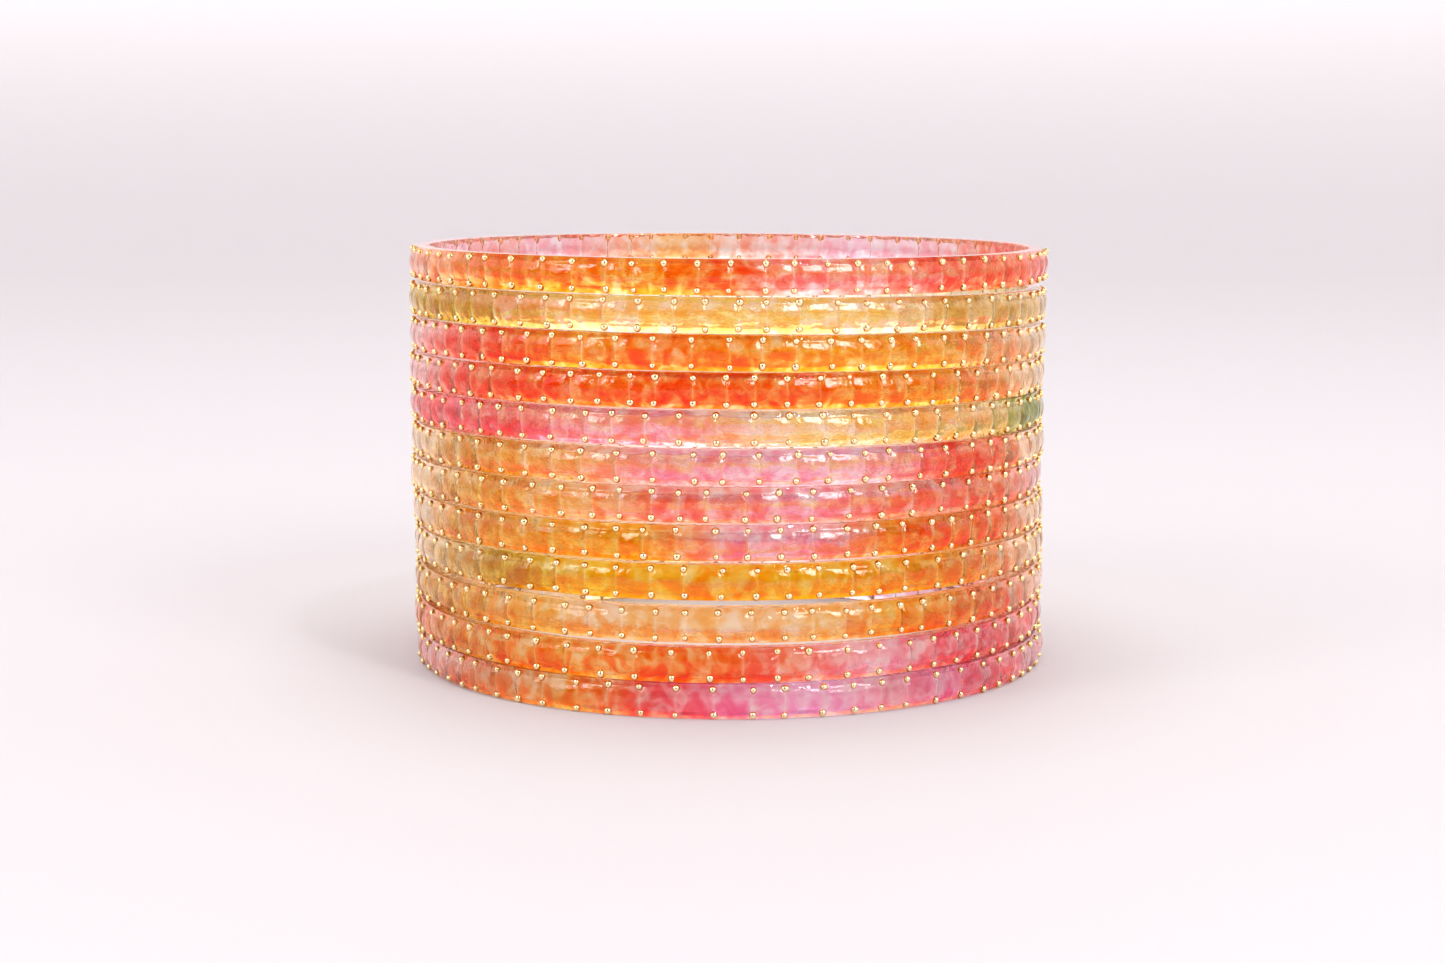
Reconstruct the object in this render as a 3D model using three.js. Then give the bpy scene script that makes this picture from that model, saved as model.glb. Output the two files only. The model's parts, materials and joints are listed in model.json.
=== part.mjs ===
// A dozen pressed-glass bangles, worn and stored as one loose stack.
// Each bangle is a slim glass ring whose outside swells into a row of pillows.
// A row of gold enamel dots runs round the upper and the lower edge of the pillows.
// Millimetres, +Z up. The origin is on the surface that the stack stands on, under its centre.

import * as THREE from "three";

// Driving dimensions of one bangle
const innerDiameter = 60.3;
const wallThickness = 2.1;
const bangleHeight = 3.24;
const bevelHeight = 0.45;
const bevelReach = 0.4;
const crownHeight = 1;
const crownRise = 0.35;
const pillowCount = 65;

// The gold dots stand on the bevels, and the crown of the pillows stands out past them
const goldProud = 0.25;
const goldClearance = 0.1;
const goldInset = 0.05;

// Least gap between two neighbouring bangles where they come closest
const stackClearance = 0.1;

// Sizes that follow from the ones above
const innerRadius = innerDiameter / 2;
const outerRadius = innerRadius + wallThickness;
const shoulderRadius = outerRadius - crownRise;
const edgeRadius = shoulderRadius - bevelReach;
const halfHeight = bangleHeight / 2;
const halfBand = halfHeight - bevelHeight;

// How each loose bangle lies in the stack, from the lowest up: how far its front edge is
// raised and its right edge is lowered, in degrees, how far it has slid to the right, in mm,
// and the tint of its glass.
const bangles = [
  { raised: 0, lowered: 0, slid: 0.2, tint: 0xf0648c },
  { raised: -0.3, lowered: 0, slid: 0, tint: 0xe8633a },
  { raised: 0, lowered: 0, slid: 0.1, tint: 0xd9b45c },
  { raised: 0.5, lowered: 0, slid: 0.1, tint: 0xd99a2b },
  { raised: 0.7, lowered: 0, slid: 0, tint: 0xee8c7c },
  { raised: 0.7, lowered: 0.2, slid: -0.2, tint: 0xee7c88 },
  { raised: 0.7, lowered: 0.3, slid: 0, tint: 0xe98a84 },
  { raised: 0.8, lowered: 0.4, slid: -0.1, tint: 0xf08a90 },
  { raised: 0.8, lowered: 0.5, slid: -0.1, tint: 0xe0622e },
  { raised: 0.6, lowered: 0.6, slid: 0, tint: 0xe8803a },
  { raised: 0.3, lowered: 0.6, slid: 0, tint: 0xd9d394 },
  { raised: -0.5, lowered: 0.3, slid: 0.1, tint: 0xea6e42 },
];

// Each bangle is turned on from the one below by the golden section of a pillow,
// so that no two rows of pillows line up.
const goldenSection = (Math.sqrt(5) - 1) / 2;
const pillowAngle = (2 * Math.PI) / pillowCount;

// A closed ring about Z from an outline of [radius, height] points, one flat per pillow.
function turnedRing(outline) {
  const points = outline.map(([radius, height]) => new THREE.Vector2(radius, height));
  const closed = [...points, points[0].clone()];
  return new THREE.LatheGeometry(closed, pillowCount).rotateX(Math.PI / 2);
}

// The glass: a straight inner wall, flat ends, and a crowned pillow band between two bevels.
function glassRing() {
  return turnedRing([
    [innerRadius, halfHeight],
    [innerRadius, -halfHeight],
    [edgeRadius, -halfHeight],
    [shoulderRadius, -halfBand],
    [outerRadius, -crownHeight / 2],
    [outerRadius, crownHeight / 2],
    [shoulderRadius, halfBand],
    [edgeRadius, halfHeight],
  ]);
}

// One row of gold dots as a slim three-sided hoop that lies along a bevel, clear of the glass.
// side is 1 for the upper row and -1 for the lower row.
function goldRow(side) {
  const slope = Math.hypot(bevelHeight, bevelReach);
  const footRadius = shoulderRadius + (goldClearance * bevelHeight) / slope;
  const footHeight = halfBand + (goldClearance * bevelReach) / slope;
  const headHeight = halfHeight - goldInset;
  const headRadius = footRadius - ((headHeight - footHeight) * bevelReach) / bevelHeight;
  const outline = [
    [headRadius, side * headHeight],
    [footRadius, side * footHeight],
    [shoulderRadius + goldProud, (side * (footHeight + headHeight)) / 2],
  ];
  return turnedRing(side > 0 ? outline : outline.reverse());
}

// Clear tinted glass.
function glassMaterial(tint) {
  return new THREE.MeshStandardMaterial({
    color: tint,
    roughness: 0.08,
    metalness: 0,
    transparent: true,
    opacity: 0.55,
  });
}

// Bright gold enamel.
function goldMaterial() {
  return new THREE.MeshStandardMaterial({
    color: 0xd9a441,
    roughness: 0.28,
    metalness: 1,
  });
}

// How far apart the centres of two neighbouring bangles are. They lean by different amounts,
// so their end faces come closest at one point of the rim, and keep the stack clearance there.
function centreSpacing(lower, upper) {
  const raised = THREE.MathUtils.degToRad(upper.raised - lower.raised);
  const lowered = THREE.MathUtils.degToRad(upper.lowered - lower.lowered);
  return bangleHeight + stackClearance + edgeRadius * Math.hypot(raised, lowered);
}

// One bangle: a group with its glass ring and its two gold rows.
function bangle(place, index) {
  const label = `bangle_${String(index + 1).padStart(2, "0")}`;
  const group = new THREE.Group();
  const pieces = [
    ["glass", glassRing(), glassMaterial(place.tint)],
    ["gold_lower", goldRow(-1), goldMaterial()],
    ["gold_upper", goldRow(1), goldMaterial()],
  ];
  for (const [piece, geometry, material] of pieces) {
    const mesh = new THREE.Mesh(geometry, material);
    mesh.name = `${label}_${piece}`;
    mesh.rotation.z = index * goldenSection * pillowAngle;
    group.add(mesh);
  }
  group.rotation.x = -THREE.MathUtils.degToRad(place.raised);
  group.rotation.y = THREE.MathUtils.degToRad(place.lowered);
  return group;
}

const stack = new THREE.Group();
let centreHeight = halfHeight;
bangles.forEach((place, index) => {
  if (index > 0) {
    centreHeight += centreSpacing(bangles[index - 1], place);
  }
  const piece = bangle(place, index);
  piece.position.set(place.slid, 0, centreHeight);
  stack.add(piece);
});

export default stack;
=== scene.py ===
# %% [markdown]
# # A dozen pressed-glass bangles
#
# The object is a loose stack of twelve slim glass rings. Each ring is clear glass shaded from one
# warm tint to another, its outside is pressed into a row of small pillows, and a gold dot sits at
# both ends of every groove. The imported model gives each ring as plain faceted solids. This lesson
# builds the fine glass and every separate gold dot around them.

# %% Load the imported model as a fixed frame
import json
import math

import bpy
import numpy as np
from mathutils import Matrix, Vector

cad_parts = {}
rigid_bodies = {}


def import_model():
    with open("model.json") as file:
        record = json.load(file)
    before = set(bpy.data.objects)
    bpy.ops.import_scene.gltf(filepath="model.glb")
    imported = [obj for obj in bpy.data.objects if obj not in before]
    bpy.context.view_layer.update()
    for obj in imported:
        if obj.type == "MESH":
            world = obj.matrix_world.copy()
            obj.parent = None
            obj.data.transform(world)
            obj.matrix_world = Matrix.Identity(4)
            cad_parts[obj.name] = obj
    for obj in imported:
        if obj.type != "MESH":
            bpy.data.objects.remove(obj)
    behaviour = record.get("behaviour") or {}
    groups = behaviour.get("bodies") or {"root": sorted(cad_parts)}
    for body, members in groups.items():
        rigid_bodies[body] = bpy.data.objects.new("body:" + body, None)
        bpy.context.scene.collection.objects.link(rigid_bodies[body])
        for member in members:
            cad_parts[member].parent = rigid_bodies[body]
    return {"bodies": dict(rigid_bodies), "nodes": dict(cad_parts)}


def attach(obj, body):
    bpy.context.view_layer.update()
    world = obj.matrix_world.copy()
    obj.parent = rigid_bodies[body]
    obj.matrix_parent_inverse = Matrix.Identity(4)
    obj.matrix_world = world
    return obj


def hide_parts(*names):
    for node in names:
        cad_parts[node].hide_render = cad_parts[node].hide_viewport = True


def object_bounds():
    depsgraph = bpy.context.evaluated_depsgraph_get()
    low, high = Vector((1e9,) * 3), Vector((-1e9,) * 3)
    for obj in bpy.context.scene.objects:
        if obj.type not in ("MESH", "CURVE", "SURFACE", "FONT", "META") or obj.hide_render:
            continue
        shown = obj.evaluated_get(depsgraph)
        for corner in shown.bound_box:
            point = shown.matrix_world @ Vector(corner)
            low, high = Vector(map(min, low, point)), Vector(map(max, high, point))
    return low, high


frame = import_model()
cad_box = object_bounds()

MM = 0.001
bangle_names = sorted(frame["bodies"])
print("bangles:", len(bangle_names), "box:", [round(c, 4) for c in (*cad_box[0], *cad_box[1])])

# %% [markdown]
# ## Where each ring lies
#
# The rings are loose, so each one leans a little and has slid a little. Both can be read from the
# ring's own solid: the mean of its points is the centre, and the direction in which the points
# spread least is the axis of the ring. A matrix made of the two carries a ring that is modelled
# flat around the origin to its place in the stack.


# %% Read a ring's place from its solid
def place_of(node):
    points = np.array([v.co for v in frame["nodes"][node].data.vertices])
    centre = points.mean(axis=0)
    spread = np.linalg.svd(points - centre, full_matrices=False)[2]
    up = Vector(spread[2] if spread[2][2] > 0 else -spread[2])
    right = (Vector((1, 0, 0)) - up * up.x).normalized()
    turn = Matrix((right, up.cross(right), up)).transposed().to_4x4()
    return Matrix.Translation(Vector(centre)) @ turn


def ring_sizes(node):
    """Inner radius, outer radius and height of a ring's solid, in metres."""
    flat = place_of(node).inverted()
    points = np.array([flat @ v.co for v in frame["nodes"][node].data.vertices])
    radii = np.hypot(points[:, 0], points[:, 1])
    return radii.min(), radii.max(), np.ptp(points[:, 2])


INNER_R, OUTER_R, HEIGHT = ring_sizes(bangle_names[0] + "_glass")
GOLD_R = ring_sizes(bangle_names[0] + "_gold_upper")[1]
print("ring: inner %.2f mm, outer %.2f mm, tall %.2f mm" % (
    INNER_R / MM, OUTER_R / MM, HEIGHT / MM))

# %% [markdown]
# ## The glass ring
#
# A pressed-glass bangle comes out of a mould, so its cross-section is the same all round except
# on the outside, where the mould has cut a groove every three millimetres. Between two grooves
# the glass swells into a pillow. The pillows of a hand-finished ring differ: some are wider, some
# are flatter, and each one faces a slightly different way, which is what makes glass like this
# glitter. A lathe can't make that, and a displacement modifier can't keep the grooves crisp, so
# the ring is one grid of points: its columns run round the ring and its rows follow the outline.
# Everything is worked out for a ring that lies flat at the origin, and is carried to its place in
# the stack at the end.

# %% The rhythm of the pillows
PILLOWS = 65
COLUMNS = 10          # columns of points in one pillow
BEVEL = 0.45 * MM     # height of the bevel above and below the pillows
BAND = 0.5 * HEIGHT - BEVEL      # half the height of the pillow band


def groove_angles(seed):
    """Where the grooves are round a ring. Their spacing varies, as on the real ones."""
    rng = np.random.default_rng(seed)
    widths = rng.normal(1.0, 0.10, PILLOWS).clip(0.76, 1.3)
    start = rng.uniform(0, 2 * math.pi / PILLOWS)
    ends = np.cumsum(widths) / widths.sum() * 2 * math.pi
    return start + np.concatenate([[0.0], ends])


def column_places(grooves):
    """The angle of every column, which pillow it is in, and how far across it lies, -1 to 1."""
    step = np.arange(COLUMNS) / COLUMNS
    across = 0.5 - 0.5 * np.cos(math.pi * step)      # columns crowd near the grooves
    start = np.repeat(grooves[:-1], COLUMNS)
    width = np.repeat(np.diff(grooves), COLUMNS)
    across = np.tile(across, PILLOWS)
    pillow = np.repeat(np.arange(PILLOWS), COLUMNS)
    return start + width * across, pillow, 2 * across - 1


print("pillows: %d in a ring, about %.2f mm wide" % (
    PILLOWS, 2 * math.pi * OUTER_R / PILLOWS / MM))

# %% The swell of one pillow
RISE = 0.33 * MM      # how far the middle of the band stands out past its shoulders
CROWN = 0.07 * MM     # how much a pillow swells from side to side
GROOVE = 0.18 * MM    # how deep its sides fall into the groove
LEANS = (0.045, 0.055)           # how much pillows lean across and along the band, in mm
ROOM = 0.05 * MM      # how far a pillow lies back, so that its lean has room
DIMPLE = 0.05 * MM    # sets how deep the dimples are; the wider ones are deeper


def pillow_depth(across, along, rng, pillow):
    """How far the glass lies below the outer radius, at places across and along each pillow."""
    crown = rng.uniform(0.5, 1.4, PILLOWS)[pillow]
    lean_across = rng.normal(0, LEANS[0], PILLOWS)[pillow] * MM
    lean_along = rng.normal(0, LEANS[1], PILLOWS)[pillow] * MM
    inside = (1 - across ** 8) * (1 - along ** 8)
    depth = RISE * np.abs(along) ** 2.2 + CROWN * crown * across ** 2 + GROOVE * across ** 10
    depth = depth + inside * (lean_across * across + lean_along * along + ROOM)
    for most in (3.0, 4.5, 6.0, 7.5):       # soft dimples left by the mould
        turns = rng.uniform(1.2, most, (2, PILLOWS))[:, pillow]
        shift = rng.uniform(0, 6.28, PILLOWS)[pillow]
        dimple = np.sin(turns[0] * across + turns[1] * along + shift)
        depth = depth + inside * DIMPLE / most * (1 + dimple)
    return depth


# %% The outline of a ring, row by row
BAND_ROWS = 15
ROUND = 0.12 * MM     # radius of the fire-polished edges
BEVEL_REACH = 0.40 * MM          # how far a bevel falls back towards the ring's end


def round_corner(centre_r, centre_z, start, sweep, steps=3):
    """Points of [radius, height] on a small arc, by its centre and its angles in degrees."""
    angles = np.radians(start + sweep * np.linspace(0, 1, steps + 1))
    return [(centre_r + ROUND * math.cos(t), centre_z + ROUND * math.sin(t)) for t in angles]


def plain_outline():
    """The rows outside the pillow band, from the band's top edge over the inside to its bottom."""
    top = 0.5 * HEIGHT
    shoulder = OUTER_R - RISE - 0.04 * MM
    edge = shoulder - BEVEL_REACH
    upper = [(shoulder - 0.14 * MM, BAND + 0.13 * MM)]
    upper += round_corner(edge + 0.03 * MM, top - ROUND, 40, 50)
    upper += [(0.5 * (edge + INNER_R), top)]
    upper += round_corner(INNER_R + ROUND, top - ROUND, 90, 90)
    wall = [(INNER_R, z) for z in np.linspace(0.75, 0, 4) * top]
    return upper + wall + [(r, -z) for r, z in reversed(upper + wall[:-1])]


print("outline: %d rows on the pillows, %d on the rest" % (BAND_ROWS, len(plain_outline())))

# %% Build the grid of one ring
WAVE = 0.05 * MM      # how uneven the inner wall is
WAVE_ROOM = 0.06 * MM            # how far the wall lies back, so that the wave has room


def wave(angles, rng):
    """A slow unevenness round the ring, as in any hand-finished glass."""
    total = np.zeros_like(angles)
    for turns in (2, 3, 5, 9):
        total += np.sin(turns * angles + rng.uniform(0, 6.28)) / turns
    return WAVE * total


def glass_points(grooves, seed):
    """The grid of points of a flat ring, and what pillow and place in it each column has."""
    rng = np.random.default_rng(seed)
    angles, pillow, across = column_places(grooves)
    rows_r, rows_z = [], []
    for along in np.linspace(-1, 1, BAND_ROWS):
        state = np.random.default_rng(seed + 1)
        depth = pillow_depth(across, np.full_like(across, along), state, pillow)
        rows_r.append(OUTER_R - depth)
        rows_z.append(np.full_like(angles, along * BAND))
    inner_wave = wave(angles, rng)
    for radius, height in plain_outline():
        near_inside = max(0.0, 1 - (radius - INNER_R) / (0.8 * MM))
        rows_r.append(radius + near_inside * (inner_wave + WAVE_ROOM))
        rows_z.append(np.full_like(angles, height))
    radii, heights = np.array(rows_r), np.array(rows_z)
    points = np.stack([radii * np.cos(angles), radii * np.sin(angles), heights], axis=-1)
    return points, pillow, across


def smooth_mesh(name, points, faces):
    mesh = bpy.data.meshes.new(name)
    mesh.from_pydata(points, [], faces)
    mesh.polygons.foreach_set("use_smooth", np.ones(len(mesh.polygons), bool))
    return mesh


def grid_mesh(name, points):
    """A closed skin over a grid of points, whose last row joins the first."""
    rows, columns = points.shape[:2]
    index = np.arange(rows * columns).reshape(rows, columns)
    right = np.roll(index, -1, axis=1)
    above, above_right = np.roll(index, -1, axis=0), np.roll(right, -1, axis=0)
    quads = np.stack([index, right, above_right, above], axis=-1).reshape(-1, 4)
    return smooth_mesh(name, points.reshape(-1, 3).tolist(), quads.tolist())


# %% [markdown]
# Three numbers are stored in the mesh for the glass material to use: a random number for each
# pillow, so that neighbours differ a little in tint, how much tint a point carries, and whether
# it is frosted. The tint is a sprayed wash that has pooled: it is strong on the pillows and thinner
# on the frosted inner wall. The tint also carries painted light. It is deeper towards the lower
# edge of a pillow and paler towards its top, which is painted shade and a painted sheen. It is weak
# in the sharp bottom of a groove, which paints a light line there. A ring is sprayed from one
# side, so its far side carries less.


# %% Store what the material needs
def store(mesh, name, values):
    attribute = mesh.attributes.new(name, "FLOAT", "POINT")
    attribute.data.foreach_set("value", np.asarray(values, np.float32))


# %% How much tint each point carries
INSIDE_TINT, OUTSIDE_TINT, END_TINT = 0.6, 1.2, 0.9
FAR_TINT, TOP_FAR_TINT = 0.35, 0.7      # how much of the tint the far side has


def tint_with_painted_shade(points, across, far_tint):
    """How much tint every point of a ring carries. far_tint is the share at the very back."""
    radii = np.hypot(points[..., 0], points[..., 1])
    heights = np.abs(points[..., 2]) / (0.5 * HEIGHT)
    tint = np.interp(radii, [INNER_R + 0.1 * MM, INNER_R + 0.3 * MM], [INSIDE_TINT, OUTSIDE_TINT])
    tint = np.where(heights > 0.97, END_TINT, tint)
    along = np.linspace(-1, 1, BAND_ROWS)[:, None]
    # Painted light on the band: the tint is deeper towards the lower edge (painted shade) and paler
    # towards the top (painted sheen). It is also weak at the bottom of each groove, which paints a
    # light line there.
    tint[:BAND_ROWS] *= (1 - 0.30 * along) * (1 - 0.7 * np.abs(across) ** 9)
    far = np.clip(1.3 * points[..., 1] / radii, 0, 1)
    return tint * (1 - (1 - far_tint) * far)


# %% Build one glass ring
def add_object(name, mesh):
    piece = bpy.data.objects.new(name, mesh)
    bpy.context.scene.collection.objects.link(piece)
    return piece


def build_glass(bangle, seed):
    grooves = groove_angles(seed)
    points, pillow, across = glass_points(grooves, seed)
    place = np.array(place_of(bangle + "_glass"))
    placed = points @ place[:3, :3].T + place[:3, 3]
    mesh = grid_mesh(bangle + "_pressed_glass", placed)
    rows = points.shape[0]
    rng = np.random.default_rng(seed + 2)
    store(mesh, "pillow_tone", np.tile(rng.uniform(0, 1, PILLOWS)[pillow], rows))
    far_tint = TOP_FAR_TINT if bangle == bangle_names[-1] else FAR_TINT
    store(mesh, "tint_strength", tint_with_painted_shade(points, across, far_tint).ravel())
    radii = np.hypot(points[..., 0], points[..., 1])
    store(mesh, "frost", (radii < INNER_R + 0.15 * MM).astype(float).ravel())
    piece = add_object(bangle + "_pressed_glass", mesh)
    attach(piece, bangle)
    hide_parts(bangle + "_glass")
    return piece, grooves


# %% [markdown]
# ## The gold dots
#
# The dots are drops of gold enamel, put on by hand with a fine tip: two thirds of a millimetre
# across, round but not perfect. A sphere primitive for each of the fifteen hundred would be slow
# and too even. Instead one row of dots is one mesh: a small ball is written down once, and the
# loop copies its points to every groove with its own size, stretch and tilt. It also stores how
# far each point faces outward. The gold material uses that number for painted shade at the rim of
# a dot and a painted highlight on its crown.

# %% One ball, written once
BALL_RINGS, BALL_SIDES = 7, 10


def ball():
    points = [(0, 0, 1)]
    for ring in range(1, BALL_RINGS):
        polar = math.pi * ring / BALL_RINGS
        for side in range(BALL_SIDES):
            turn = 2 * math.pi * side / BALL_SIDES
            points.append((math.sin(polar) * math.cos(turn),
                           math.sin(polar) * math.sin(turn), math.cos(polar)))
    points.append((0, 0, -1))
    faces = []
    for side in range(BALL_SIDES):
        after = (side + 1) % BALL_SIDES
        faces.append((0, 1 + side, 1 + after))
        for ring in range(BALL_RINGS - 2):
            a = 1 + ring * BALL_SIDES
            b = a + BALL_SIDES
            faces.append((a + side, b + side, b + after, a + after))
        last = 1 + (BALL_RINGS - 2) * BALL_SIDES
        faces.append((last + side, len(points) - 1, last + after))
    return np.array(points), faces


BALL_POINTS, BALL_FACES = ball()
print("one ball: %d points, %d faces" % (len(BALL_POINTS), len(BALL_FACES)))

# %% A row of dots
DOT_R = 0.34 * MM
SIZES = (0.86, 1.12)  # the smallest and the largest dot, against DOT_R
SHAKE = 0.04          # how far a dot misses its place, in millimetres
LUMPS = 0.05          # how lumpy a dot is, against its own radius


def build_dots(bangle, row, grooves, seed):
    """One row of dots as one mesh, which takes the place of the row's plain hoop."""
    side = 1 if row == "upper" else -1
    rng = np.random.default_rng(seed)
    place = np.array(place_of(bangle + "_glass"))
    points, faces, proud = [], [], []
    for number, angle in enumerate(grooves[:-1]):
        size = DOT_R * rng.uniform(*SIZES)
        stretch = rng.normal(1.0, 0.07, 3).clip(0.86, 1.14)
        reach = GOLD_R - size * stretch[0] + 0.02 * MM - abs(rng.normal(0, SHAKE)) * MM
        highest = 0.5 * HEIGHT - 1.06 * size * stretch[2]      # a dot ends before the ring does
        height = side * min(BAND + 0.02 * MM + rng.normal(0, SHAKE) * MM, highest)
        angle = angle + rng.normal(0, 0.0022)
        outward = np.array([math.cos(angle), math.sin(angle), 0.0])
        along = np.array([-math.sin(angle), math.cos(angle), 0.0])
        axes = np.array([outward, along, [0.0, 0.0, 1.0]])
        lumpy = BALL_POINTS * stretch * (1 + LUMPS * np.sin(
            3 * BALL_POINTS[:, [1, 2, 0]] + rng.uniform(0, 6.28)))
        points.append(outward * reach + [0, 0, height] + size * lumpy @ axes)
        # How far each point faces outward. The gold material uses it to paint shade at the rim and
        # a highlight on the crown.
        proud.append(np.abs(BALL_POINTS[:, 0]))
        base = number * len(BALL_POINTS)
        faces += [tuple(base + i for i in face) for face in BALL_FACES]
    placed = np.concatenate(points) @ place[:3, :3].T + place[:3, 3]
    name = f"{bangle}_gold_dots_{row}"
    mesh = smooth_mesh(name, placed.tolist(), faces)
    store(mesh, "proud", np.concatenate(proud))
    piece = add_object(name, mesh)
    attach(piece, bangle)
    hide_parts(f"{bangle}_gold_{row}")
    return piece


# %% [markdown]
# ## The tints
#
# A ring is shaded by hand while the colour is sprayed on, so it drifts from tint to tint as it
# turns. The palette holds the colours that the eye sees when light has crossed the whole stack.
# Each ring is a row of names from the palette, from its left side by the front to its right
# side. The pale blush and shell at both ends of many rows are a painted sheen: they make the
# sides pale, where the glass mirrors the white room. The far half is shaded in the same order,
# but weaker. Only the top ring's far half is in plain view, so it has a row of its own.


# %% The palette
def seen(code):
    """A screen colour such as "f6852a" as linear light."""
    channels = [int(code[i:i + 2], 16) / 255 for i in (0, 2, 4)]
    return np.array([c / 12.92 if c <= 0.04045 else ((c + 0.055) / 1.055) ** 2.4
                     for c in channels])


PALETTE = {
    "blush": "dfc29e", "shell": "f3a8a4", "rust": "dc8c68", "caramel": "d29446",
    "tan": "cd9e52", "ochre": "c09c2e", "khaki": "c9a95e", "moss": "6c8a3c",
    "honey": "e2a24c", "gold": "e6a634", "amber": "ee9638", "apricot": "e8975c",
    "sand": "eeb074", "straw": "e8c684", "cream": "f6cb9c", "melon": "f8aa7c",
    "orange": "f0842a", "tangerine": "fc8c40", "vermilion": "f67418", "ember": "ee6a14",
    "flame": "f76434", "coral": "f0604e", "brick": "e86e44", "hot_pink": "f86c70",
    "salmon": "fc887c", "rose": "fe9ba8", "petal": "ffa8b8", "peach": "fbb498",
    "candy": "ff88aa", "orchid": "ffaad0",
}
print("tints in the palette:", len(PALETTE))

# %% How each ring is shaded
# From the lowest ring up. Each name stands at the angle at the same place in STOPS, 0 in front.
STOPS = (-90, -68, -55, -40, -27, -13, 0, 13, 27, 40, 55, 68, 90)
# The blush and shell at both ends of many rows are a painted sheen, for the pale sides where the
# glass mirrors the white room.
SHADES = [
    "shell shell rust apricot tangerine hot_pink candy orchid petal candy hot_pink rose shell",
    "rust rust caramel orange orange vermilion brick salmon petal hot_pink hot_pink salmon rose",
    "tan tan caramel honey sand sand sand sand amber tangerine brick peach peach",
    "blush blush khaki ochre gold gold amber gold amber amber apricot blush blush",
    "blush blush caramel honey honey amber rose rose tangerine vermilion brick blush blush",
    "blush blush tan honey melon salmon salmon rose salmon salmon brick shell shell",
    "blush blush tan honey melon rose rose petal petal coral brick blush blush",
    "shell hot_pink hot_pink hot_pink rose rose peach cream straw straw straw moss khaki",
    "shell shell coral flame flame ember ember vermilion tangerine amber apricot blush blush",
    "shell shell coral flame tangerine vermilion orange amber honey amber apricot blush blush",
    "ochre ochre ochre khaki straw straw straw straw cream khaki khaki khaki blush",
    "rust rust apricot orange orange tangerine flame salmon salmon coral brick coral shell",
]
TOP_FAR_SHADES = "rose rose salmon rose salmon apricot rust salmon rose rose salmon coral coral"

# %% [markdown]
# ## The glass material
#
# Glass gets its look from what it bends and mirrors, so the Principled shader's transmission does
# most of the work. The nodes add what makes this glass: the angle round the ring, nudged by soft
# noise, picks the tint from a colour ramp, and each pillow shifts it a little. The stored tint
# strength, made uneven by more noise, says how deep the film is there. A film that is twice as
# deep lets light through as two films would, so the colour is raised to the power of its depth,
# channel by channel. A bump gives the pillows their hammered skin.

# %% A small helper for wiring nodes
class Nodes:
    """A material and its node tree, with a short way to add nodes and wire them up."""

    def __init__(self, name):
        self.material = bpy.data.materials.new(name)
        self.material.use_nodes = True
        self.tree = self.material.node_tree
        self.tree.nodes.clear()

    def add(self, kind, settings=None, **inputs):
        """Inputs go by the name of a socket, or by its number as i0, i1 and so on."""
        node = self.tree.nodes.new(kind)
        for key, value in (settings or {}).items():
            setattr(node, key, value)
        for key, value in inputs.items():
            socket = node.inputs[int(key[1:])] if key[1:].isdigit() else node.inputs[
                key.replace("_", " ")]
            if isinstance(value, bpy.types.NodeSocket):
                self.tree.links.new(value, socket)
            else:
                socket.default_value = value
        return node

    def math(self, operation, a, b=0.0):
        return self.add("ShaderNodeMath", {"operation": operation}, i0=a, i1=b).outputs[0]


# %% From a seen colour to a film
# The outer face mirrors a little white on top of the tint, and the clear glass keeps some of the
# light, so a film has to be deeper than the colour that is seen through it. On its way out light
# meets about 1.2 such films, so one of them carries 0.83 of the tint.
MIRRORED, PASSED, FILM_SHARE = 0.04, 0.70, 0.83


def film(name):
    """The colour of the tint film that makes the stack look like the named colour."""
    light = (seen(PALETTE[name]) - MIRRORED) / PASSED
    return (*light.clip(0.012, 1.0) ** FILM_SHARE, 1.0)


def shade_ramp(nodes, names):
    """A colour ramp from the left side of a ring by its front to its right side."""
    ramp = nodes.add("ShaderNodeValToRGB")
    elements = ramp.color_ramp.elements
    elements[0].position, elements[0].color = 0.0, film(names[0])
    elements[1].position, elements[1].color = 1.0, film(names[-1])
    for degrees, name in list(zip(STOPS, names))[1:-1]:
        elements.new((degrees + 90) / 180).color = film(name)
    return ramp


# %% The tint round the ring
DRIFT = 160.0         # scale of the noise that lets the tints wander, patches of about 6 mm


def tint_round_ring(nodes, place, names, far_names):
    """The film's colour by the angle round the ring, from one ramp in front and one behind."""
    split = nodes.add("ShaderNodeSeparateXYZ", Vector=place)
    depth = nodes.math("ABSOLUTE", split.outputs["Y"])
    angle = nodes.math("ARCTAN2", split.outputs["X"], depth)
    turn = nodes.math("ADD", nodes.math("DIVIDE", angle, math.pi), 0.5)
    drift = nodes.add("ShaderNodeTexNoise", Vector=place, Scale=DRIFT, Detail=2.0)
    drift = nodes.math("MULTIPLY", nodes.math("SUBTRACT", drift.outputs[0], 0.5), 0.05)
    drifted = nodes.math("ADD", turn, drift)
    near, far = shade_ramp(nodes, names), shade_ramp(nodes, far_names)
    nodes.tree.links.new(drifted, near.inputs[0])
    nodes.tree.links.new(drifted, far.inputs[0])
    behind = nodes.add("ShaderNodeMapRange", i0=split.outputs["Y"], i1=-3 * MM, i2=3 * MM)
    both = nodes.add("ShaderNodeMix", {"data_type": "RGBA"}, i0=behind.outputs[0],
                     i6=near.outputs[0], i7=far.outputs[0])
    return both.outputs[2]


# %% How deep the film is
POOLS = 640.0         # scale of the noise that thins and thickens the film, about 1.6 mm
THIN, THICK = 0.28, 1.62        # the least and the most that it leaves of the film
TONE_DEPTH, TONE_HUE = 0.2, 0.016      # how much the pillows of a ring differ in depth and hue


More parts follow.
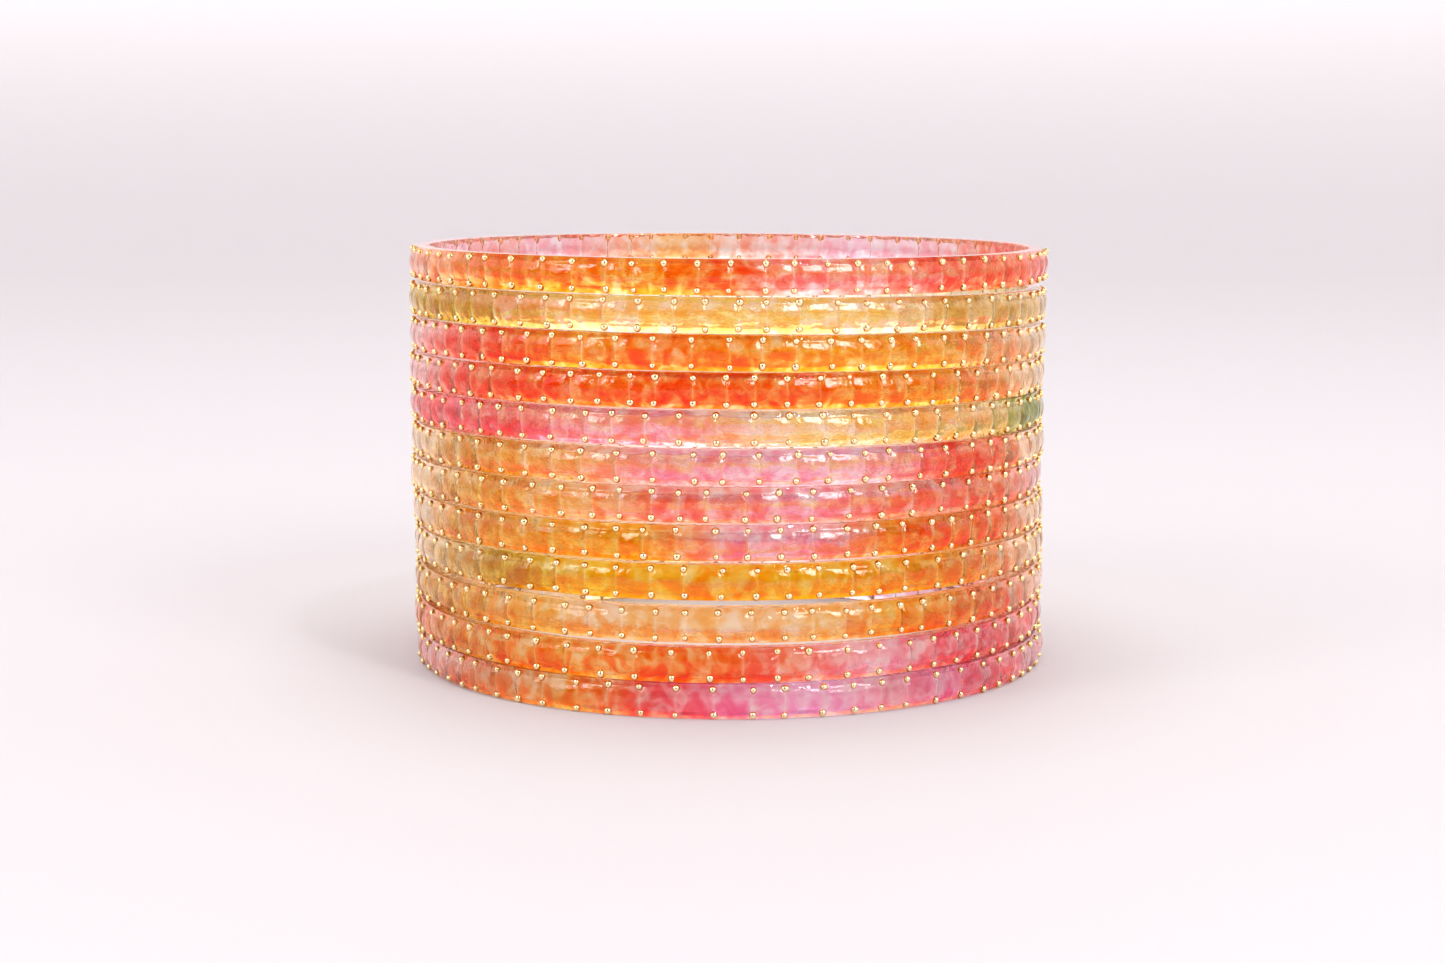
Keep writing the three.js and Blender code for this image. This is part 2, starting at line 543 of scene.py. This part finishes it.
def film_depth(nodes, place, tone):
    """How many films deep the tint is at a point, in pools, and more on some pillows."""
    strength = nodes.add("ShaderNodeAttribute", {"attribute_name": "tint_strength"})
    pooled = nodes.add("ShaderNodeTexNoise", Vector=place, Scale=POOLS, Detail=2.0,
                       Distortion=0.6)
    pooled = nodes.add("ShaderNodeMapRange", {"interpolation_type": "SMOOTHSTEP"},
                       i0=pooled.outputs[0], i1=0.34, i2=0.66, i3=THIN, i4=THICK).outputs[0]
    uneven = nodes.math("ADD", pooled, nodes.math("MULTIPLY", tone, TONE_DEPTH))
    return nodes.math("MULTIPLY", strength.outputs["Fac"], uneven)


# %% The whole glass material
POLISH, FROST = 0.03, 0.14      # roughness outside, and how much the inner wall adds to it
HAMMER = 800.0                  # scale of the hammered skin, about 1.2 mm


def glass_material(name, names, far_names):
    nodes = Nodes(name)
    place = nodes.add("ShaderNodeTexCoord").outputs["Object"]
    tone = nodes.add("ShaderNodeAttribute", {"attribute_name": "pillow_tone"}).outputs["Fac"]
    shifted = nodes.add(
        "ShaderNodeHueSaturation",
        Hue=nodes.math("ADD", nodes.math("MULTIPLY", tone, TONE_HUE), 0.492),
        Color=tint_round_ring(nodes, place, names, far_names))
    amount = film_depth(nodes, place, tone)
    parts = nodes.add("ShaderNodeSeparateColor", Color=shifted.outputs[0])
    passed = [nodes.math("POWER", part, amount) for part in parts.outputs[:3]]
    colour = nodes.add("ShaderNodeCombineColor", i0=passed[0], i1=passed[1], i2=passed[2])
    ripples = nodes.add("ShaderNodeTexNoise", Vector=place, Scale=HAMMER, Detail=2.0)
    bump = nodes.add("ShaderNodeBump", Strength=0.8, Distance=0.15 * MM,
                     Height=ripples.outputs[0])
    frost = nodes.add("ShaderNodeAttribute", {"attribute_name": "frost"}).outputs["Fac"]
    rough = nodes.math("ADD", nodes.math("MULTIPLY", frost, FROST), POLISH)
    shader = nodes.add(
        "ShaderNodeBsdfPrincipled", Base_Color=colour.outputs[0], Roughness=rough, IOR=1.5,
        Transmission_Weight=0.97, Normal=bump.outputs[0])
    nodes.add("ShaderNodeOutputMaterial", Surface=shader.outputs[0])
    return nodes.material


# %% [markdown]
# Gold enamel is fired on. One plain yellow metal would make the dots look like beads, so a colour
# ramp follows how far each point faces outward: painted shade makes the rim of a drop dark brown,
# and a painted highlight makes its crown pale. Fine noise mottles the colour, the polish and the
# skin alike.

# %% Gold enamel
# The first colour is painted shade for the rim of a dot and the last is a painted highlight for its
# crown. Only the middle one is the gold's own colour.
PAINTED_RIM_SHADE, GOLDEN, PAINTED_CROWN_HIGHLIGHT = (0.34, 0.15, 0.04, 1), (1.0, 0.70, 0.28, 1), (1.0, 0.88, 0.56, 1)
MOTTLE = 2500.0       # scale of the mottle, in patches of about 0.4 mm


def gold_material():
    nodes = Nodes("gold_enamel_dots")
    place = nodes.add("ShaderNodeTexCoord").outputs["Object"]
    mottle = nodes.add("ShaderNodeTexNoise", Vector=place, Scale=MOTTLE, Detail=4.0)
    proud = nodes.add("ShaderNodeAttribute", {"attribute_name": "proud"}).outputs["Fac"]
    uneven = nodes.math("MULTIPLY", nodes.math("SUBTRACT", mottle.outputs[0], 0.5), 0.5)
    # The ramp paints shade on the rim of each dot and a highlight on its crown.
    colour = nodes.add("ShaderNodeValToRGB", Fac=nodes.math("ADD", proud, uneven))
    elements = colour.color_ramp.elements
    elements[0].position, elements[0].color = 0.06, PAINTED_RIM_SHADE
    elements[1].position, elements[1].color = 0.85, PAINTED_CROWN_HIGHLIGHT
    elements.new(0.45).color = GOLDEN
    rough = nodes.math("ADD", nodes.math("MULTIPLY", mottle.outputs[0], 0.16), 0.1)
    bump = nodes.add("ShaderNodeBump", Strength=0.3, Distance=0.03 * MM,
                     Height=mottle.outputs[0])
    shader = nodes.add("ShaderNodeBsdfPrincipled", Base_Color=colour.outputs[0], Metallic=1.0,
                       Roughness=rough, Normal=bump.outputs[0])
    nodes.add("ShaderNodeOutputMaterial", Surface=shader.outputs[0])
    return nodes.material


# %% [markdown]
# ## The whole stack
#
# Everything is ready, so one loop makes the rings. Each ring has a seed of its own, which gives
# it pillows of its own, and it passes its grooves on to its two rows of dots.

# %% Make the twelve bangles
gold = gold_material()
for number, bangle in enumerate(bangle_names):
    seed = 100 * (number + 1)
    glass, grooves = build_glass(bangle, seed)
    names = SHADES[number].split()
    far_names = TOP_FAR_SHADES.split() if bangle == bangle_names[-1] else names
    glass.data.materials.append(glass_material(bangle + "_shaded_glass", names, far_names))
    for row in ("upper", "lower"):
        dots = build_dots(bangle, row, grooves, seed + (3 if row == "upper" else 4))
        dots.data.materials.append(gold)
print("pieces made:", 3 * len(bangle_names), "gold dots:", 2 * PILLOWS * len(bangle_names))

# %% [markdown]
# ## Floor, light and camera
#
# Glass shows its surroundings, so the studio is part of the look: a pale floor that curves up
# into a wall all round, with no line where they meet. It could be a plane and a world colour, but
# then the horizon would show through the rings.

# %% The shape of the floor
BOWL_R, BOWL_CORNER, BOWL_HEIGHT, BOWL_STEPS = 1.4, 0.5, 0.9, 96


def bowl_mesh():
    profile = [(BOWL_R * t, 0.0) for t in (0.0, 0.02, 0.05, 0.1, 0.2, 0.4, 0.64)]
    for t in np.linspace(0, 0.5 * math.pi, 10):
        profile.append((BOWL_R - BOWL_CORNER + BOWL_CORNER * math.sin(t),
                        BOWL_CORNER * (1 - math.cos(t))))
    profile.append((BOWL_R, BOWL_HEIGHT))
    points, faces = [(0.0, 0.0, 0.0)], []
    for r, z in profile[1:]:
        for s in range(BOWL_STEPS):
            turn = 2 * math.pi * s / BOWL_STEPS
            points.append((r * math.cos(turn), r * math.sin(turn), z))
    for s in range(BOWL_STEPS):
        faces.append((0, 1 + s, 1 + (s + 1) % BOWL_STEPS))
    for ring in range(len(profile) - 2):
        a = 1 + ring * BOWL_STEPS
        for s in range(BOWL_STEPS):
            t = (s + 1) % BOWL_STEPS
            faces.append((a + s, a + BOWL_STEPS + s, a + BOWL_STEPS + t, a + t))
    return smooth_mesh("pale_bowl", points, faces)


# %% The paper of the floor
WALL_GLOW = 0.72      # the wall is lit from within, so that it stays as pale as the floor
PAD_GLOW = 0.12       # so is the patch of floor inside the rings, which the lamps hardly reach


def pale_paper():
    nodes = Nodes("pale_paper")
    place = nodes.add("ShaderNodeTexCoord").outputs["Object"]
    height = nodes.add("ShaderNodeSeparateXYZ", Vector=place).outputs["Z"]
    wall = nodes.add("ShaderNodeMapRange", {"interpolation_type": "SMOOTHSTEP"},
                     i0=height, i1=0.0, i2=0.45, i3=0.0, i4=WALL_GLOW)
    reach = nodes.add("ShaderNodeVectorMath", {"operation": "LENGTH"}, i0=place).outputs[1]
    pad = nodes.add("ShaderNodeMapRange", {"interpolation_type": "SMOOTHSTEP"},
                    i0=reach, i1=0.8 * INNER_R, i2=INNER_R, i3=PAD_GLOW, i4=0.0)
    glow = nodes.math("ADD", wall.outputs[0], pad.outputs[0])
    shader = nodes.add("ShaderNodeBsdfPrincipled", Base_Color=(0.75, 0.715, 0.73, 1),
                       Roughness=0.75, Emission_Color=(1.0, 0.965, 0.98, 1),
                       Emission_Strength=glow)
    nodes.add("ShaderNodeOutputMaterial", Surface=shader.outputs[0])
    return nodes.material


bowl = add_object("pale_bowl", bowl_mesh())
bowl.data.materials.append(pale_paper())
print("floor: %d faces" % len(bowl.data.polygons))

# %% [markdown]
# Polished glass in an all-white room turns milky, because every surface mirrors white on top of
# the tint. Photographers stand a dark card behind the camera for this, and hang a small bright
# card where they want a highlight. These cards are arcs round the stack that only mirror rays can
# see: the dark one deepens the tints and draws the rims of the gold dots, the bright ones put a
# white glint on the pillows and the dots, and none of them lights the floor.

# %% The cards
def card(name, turns, heights, radius, colour, glow=0.0, steps=24):
    """An arc round the stack. The turns are in degrees to the right of the front."""
    points, faces = [], []
    for turn in np.radians(np.linspace(turns[0], turns[1], steps + 1)):
        points += [(radius * math.sin(turn), -radius * math.cos(turn), z) for z in heights]
    for step in range(steps):
        a = 2 * step
        faces.append((a, a + 2, a + 3, a + 1))
    mesh = bpy.data.meshes.new(name)
    mesh.from_pydata(points, [], faces)
    arc = add_object(name, mesh)
    nodes = Nodes(name + "_paper")
    shader = nodes.add("ShaderNodeBsdfPrincipled", Base_Color=(*colour, 1), Roughness=0.9,
                       Emission_Color=(1, 1, 1, 1), Emission_Strength=glow)
    nodes.add("ShaderNodeOutputMaterial", Surface=shader.outputs[0])
    mesh.materials.append(nodes.material)
    for ray in ("camera", "diffuse", "transmission", "shadow", "volume_scatter"):
        setattr(arc, "visible_" + ray, False)


card("dark_card", (-70, 70), (0.02, 0.85), 1.2, (0.06, 0.045, 0.04))
card("right_card", (22, 48), (0.42, 0.80), 0.9, (0.8, 0.8, 0.8), glow=7.0)
card("left_card", (-58, -40), (0.42, 0.66), 0.9, (0.8, 0.78, 0.72), glow=5.0)

# %% [markdown]
# Soft light comes from a large source. The softbox overhead fills the inside of the rings, two
# smaller windows model their left and right, and a small spot adds points of light. All of them
# aim at the middle of the stack.

# %% The lamps and the sky
MIDDLE = Vector((0, 0, 0.5 * cad_box[1][2]))


def soft_lamp(name, place, size, power):
    light = bpy.data.lights.new(name, "AREA")
    light.shape, light.size, light.size_y = "RECTANGLE", size[0], size[1]
    light.energy = power
    lamp = add_object(name, light)
    lamp.location = place
    lamp.rotation_euler = (MIDDLE - Vector(place)).to_track_quat("-Z", "Y").to_euler()


soft_lamp("overhead_softbox", (0, 0.10, 0.85), (0.7, 0.5), 1.3)
soft_lamp("right_window", (0.42, -0.48, 0.40), (0.28, 0.34), 1.1)
soft_lamp("left_window", (-0.55, -0.35, 0.35), (0.24, 0.34), 0.7)
soft_lamp("small_spot", (0.25, -0.35, 0.75), (0.035, 0.035), 0.35)

world = bpy.data.worlds.new("studio_air")
world.use_nodes = True
sky = world.node_tree.nodes["Background"]
sky.inputs["Color"].default_value = (1.0, 0.985, 1.0, 1)
sky.inputs["Strength"].default_value = 0.40
bpy.context.scene.world = world

# %% [markdown]
# The camera is a little long, so that the stack keeps nearly straight sides, and looks down just
# enough to see into the top ring. The plain view transform keeps the tints pure, and a contrast
# look gives them back the depth that soft light takes.

# %% The camera
# It looks slightly down from the front, at a little over seven times the outer radius.
CAMERA_DISTANCE = 7.29 * OUTER_R
CAMERA_HEIGHT = 1.53 * OUTER_R
LOOK_DOWN = math.radians(7.73)
camera_data = bpy.data.cameras.new("camera")
camera_data.sensor_width = 36.0
camera_data.lens = 57.4
camera = add_object("camera", camera_data)
camera.location = (-0.55 * MM, -CAMERA_DISTANCE, CAMERA_HEIGHT)
camera.rotation_euler = (0.5 * math.pi - LOOK_DOWN, 0, 0)
bpy.context.scene.camera = camera
view = bpy.context.scene.view_settings
view.view_transform, view.look, view.exposure = "Standard", "Medium High Contrast", 0.2
print("camera: %.0f mm from the axis of the stack" % (CAMERA_DISTANCE / MM))

# %% [markdown]
# Light that is caught inside a ring mirrors to and fro many times before it comes out. With the
# usual few bounces those paths end in black and draw dark outlines that real glass doesn't have.

# %% Let light out of the glass
paths = bpy.context.scene.cycles
paths.max_bounces, paths.glossy_bounces, paths.transmission_bounces = 24, 16, 24
